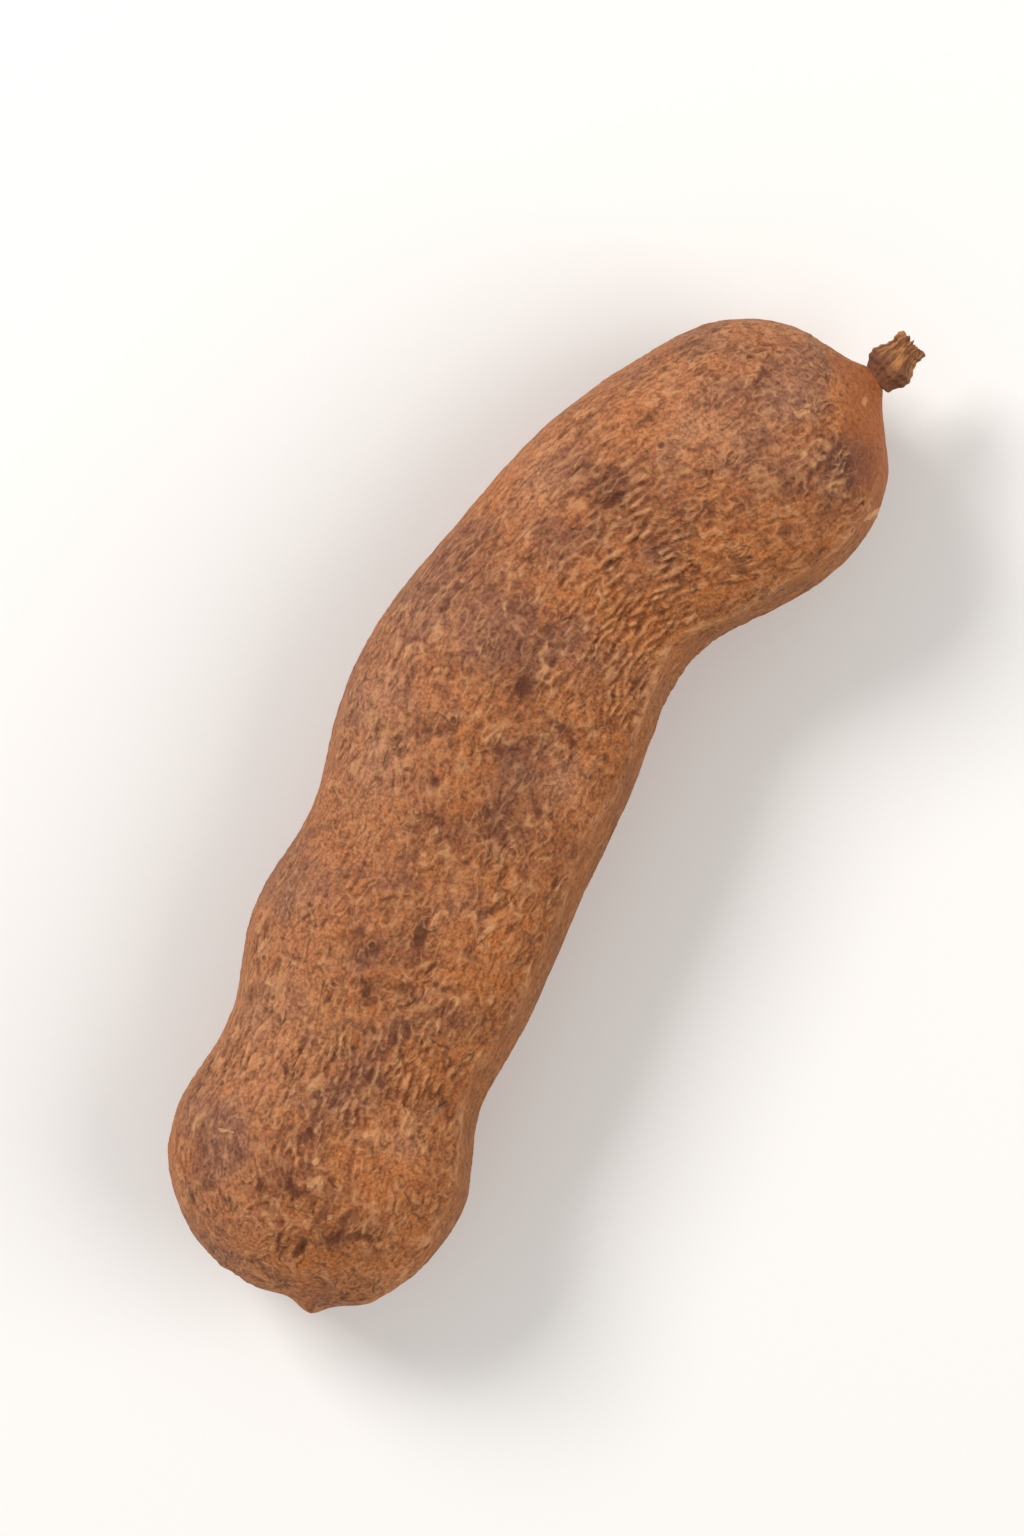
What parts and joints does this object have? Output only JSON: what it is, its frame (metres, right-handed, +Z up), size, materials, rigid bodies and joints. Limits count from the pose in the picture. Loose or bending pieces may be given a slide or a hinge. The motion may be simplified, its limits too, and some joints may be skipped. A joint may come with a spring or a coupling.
{
  "type": "tamarind pod",
  "caption": "Whole ripe tamarind pod lying on its side: a bowed brown husk that swells over its seeds, with a blunt beak at one end and a stub of stalk at the other.",
  "frame": {"origin": "on the ground that the pod lies on, under the middle of its footprint", "axes": "+Z up, +X from the beak to the stalk, +Y towards the outside of the bow"},
  "size_m": [0.1035, 0.0341, 0.0224],
  "materials": {
    "husk": "dry, matt, scurfy brown husk with fine wavy fibres",
    "stalk": "dry, matt, golden-brown wood with a ragged broken end"
  },
  "bodies": {
    "root": {"pod_husk": "husk", "stalk_stub": "stalk"}
  },
  "joints": []
}
